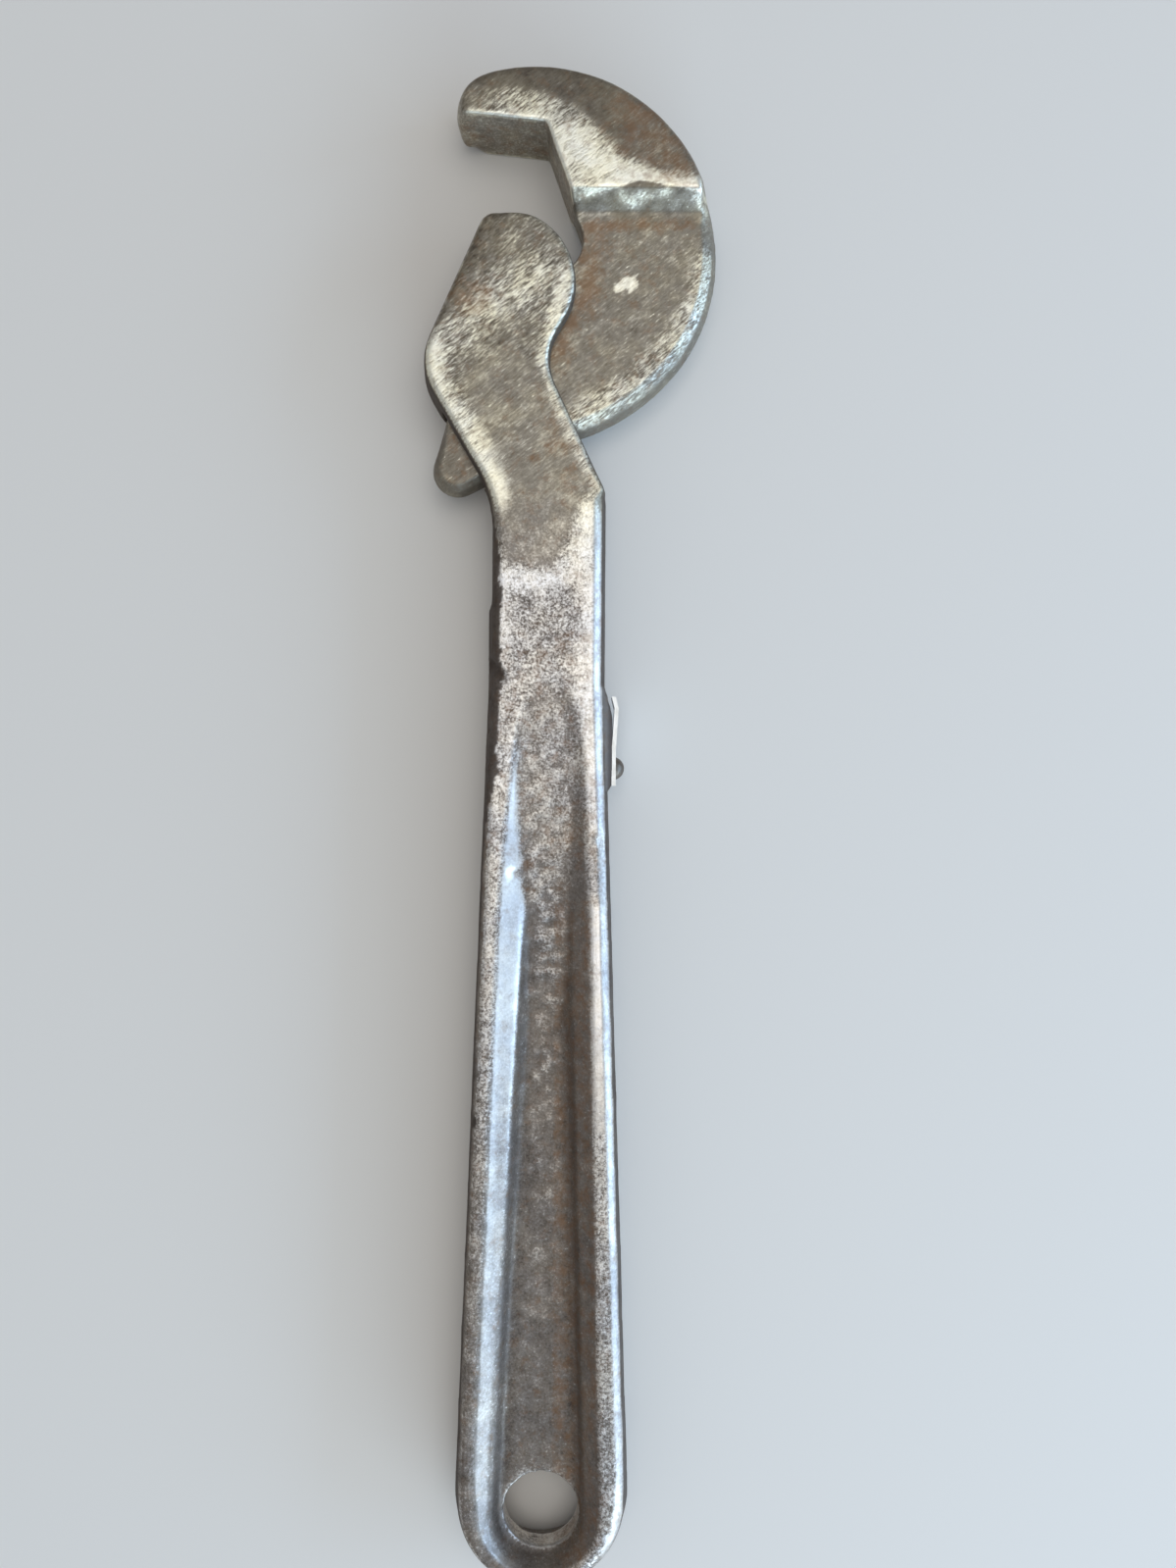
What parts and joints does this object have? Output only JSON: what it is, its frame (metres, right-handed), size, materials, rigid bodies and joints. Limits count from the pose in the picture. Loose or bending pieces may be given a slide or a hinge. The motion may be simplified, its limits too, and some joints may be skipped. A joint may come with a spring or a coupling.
{
  "type": "pipe wrench",
  "caption": "Old forged self-adjusting pipe wrench: fork-headed handle, sliding hook jaw with a thumb knob, riveted leaf spring, hanging hole.",
  "frame": {"origin": "centre of the hanging hole at mid thickness", "axes": "+Y along the handle from the hanging hole to the jaws, +Z through the thickness towards the upper face, +X across the handle towards the hook's round back"},
  "size_m": [0.0503, 0.258, 0.0132],
  "materials": {
    "forged_steel": "rough",
    "jaw_steel": "rough",
    "spring_steel": "satin",
    "rivet_steel": "satin"
  },
  "bodies": {
    "handle_body": {"handle": "forged_steel", "leaf_spring": "spring_steel", "spring_rivet": "rivet_steel"},
    "hook_body": {"hook_jaw": "jaw_steel"}
  },
  "joints": [
    {"name": "jaw_slide", "type": "slide", "parent": "handle_body", "child": "hook_body", "axis": [0.6428, 0.766, 0], "range_m": [-0.0055, 0.0065]}
  ]
}
